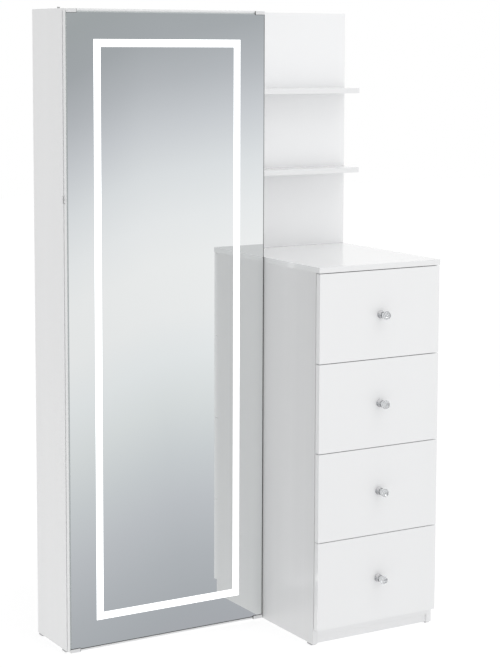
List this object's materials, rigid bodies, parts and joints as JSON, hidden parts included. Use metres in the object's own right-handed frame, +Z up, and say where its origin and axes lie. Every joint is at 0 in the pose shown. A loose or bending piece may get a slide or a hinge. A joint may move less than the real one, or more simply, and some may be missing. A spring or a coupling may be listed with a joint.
{
  "type": "dressing unit with lit full length mirror",
  "caption": "Full-length mirror door with a lit band on a shallow shelved cabinet, beside open display shelves over a chest of drawers with crystal knobs.",
  "frame": {"origin": "middle of the footprint, drawer knobs included, on the floor", "axes": "+Z up, front of the unit towards -Y, chest of drawers on the +X side"},
  "size_m": [1.046, 0.556, 1.804],
  "materials": {
    "white_board": "white gloss laminate with a faint upright grain on 16 mm particle board",
    "back_board": "white lacquered hardboard, smooth face",
    "drawer_board": "matt white foil on particle board",
    "mirror_silver": "silvered 4 mm float glass with polished edges and a frosted band",
    "lit_band": "opal diffuser over a strip of white LEDs, lit",
    "satin_steel": "nickel-plated pressed steel, satin",
    "runner_steel": "zinc-plated rolled steel",
    "knob_chrome": "bright chrome on die-cast zinc",
    "knob_crystal": "clear cut crystal, polished facets",
    "white_plastic": "white moulded plastic, fine texture",
    "dark_plastic": "black moulded plastic"
  },
  "bodies": {
    "cabinet": {"cabinet_left_side": "white_board", "cabinet_right_side": "white_board", "cabinet_top": "white_board", "cabinet_bottom": "white_board", "cabinet_shelf_1": "white_board", "cabinet_shelf_2": "white_board", "cabinet_shelf_3": "white_board", "display_back": "white_board", "display_shelf_1": "white_board", "display_shelf_2": "white_board", "chest_left_side": "white_board", "chest_right_side": "white_board", "chest_top": "white_board", "chest_bottom": "white_board", "chest_plinth": "white_board", "cabinet_back": "back_board", "chest_back": "back_board", "latch_plate": "satin_steel", "hinge_arm_1": "satin_steel", "hinge_arm_2": "satin_steel", "hinge_arm_3": "satin_steel", "hinge_arm_4": "satin_steel", "drawer_1_runner_left": "runner_steel", "drawer_1_runner_right": "runner_steel", "drawer_2_runner_left": "runner_steel", "drawer_2_runner_right": "runner_steel", "drawer_3_runner_left": "runner_steel", "drawer_3_runner_right": "runner_steel", "drawer_4_runner_left": "runner_steel", "drawer_4_runner_right": "runner_steel", "top_edge_cap": "dark_plastic"},
    "mirror_door": {"mirror_door_board": "white_board", "mirror_glass": "mirror_silver", "led_light_band": "lit_band", "led_control_box": "white_plastic", "door_strike": "satin_steel", "mirror_clip_bottom_left": "satin_steel", "mirror_clip_bottom_right": "satin_steel", "mirror_clip_top_left": "satin_steel", "mirror_clip_top_right": "satin_steel", "hinge_cup_1": "satin_steel", "hinge_cup_2": "satin_steel", "hinge_cup_3": "satin_steel", "hinge_cup_4": "satin_steel"},
    "drawer_1": {"drawer_1_front": "white_board", "drawer_1_box": "drawer_board", "drawer_1_knob_base": "knob_chrome", "drawer_1_knob_crystal": "knob_crystal"},
    "drawer_2": {"drawer_2_front": "white_board", "drawer_2_box": "drawer_board", "drawer_2_knob_base": "knob_chrome", "drawer_2_knob_crystal": "knob_crystal"},
    "drawer_3": {"drawer_3_front": "white_board", "drawer_3_box": "drawer_board", "drawer_3_knob_base": "knob_chrome", "drawer_3_knob_crystal": "knob_crystal"},
    "drawer_4": {"drawer_4_front": "white_board", "drawer_4_box": "drawer_board", "drawer_4_knob_base": "knob_chrome", "drawer_4_knob_crystal": "knob_crystal"}
  },
  "joints": [
    {"name": "mirror_door_hinge", "type": "hinge", "parent": "cabinet", "child": "mirror_door", "pos_m": [0.104, 0.058, 0.9], "axis": [0, 0, 1], "range_deg": [0, 90]},
    {"name": "drawer_1_slide", "type": "slide", "parent": "cabinet", "child": "drawer_1", "axis": [0, -1, 0], "range_m": [0, 0.32]},
    {"name": "drawer_2_slide", "type": "slide", "parent": "cabinet", "child": "drawer_2", "axis": [0, -1, 0], "range_m": [0, 0.32]},
    {"name": "drawer_3_slide", "type": "slide", "parent": "cabinet", "child": "drawer_3", "axis": [0, -1, 0], "range_m": [0, 0.32]},
    {"name": "drawer_4_slide", "type": "slide", "parent": "cabinet", "child": "drawer_4", "axis": [0, -1, 0], "range_m": [0, 0.32]}
  ]
}
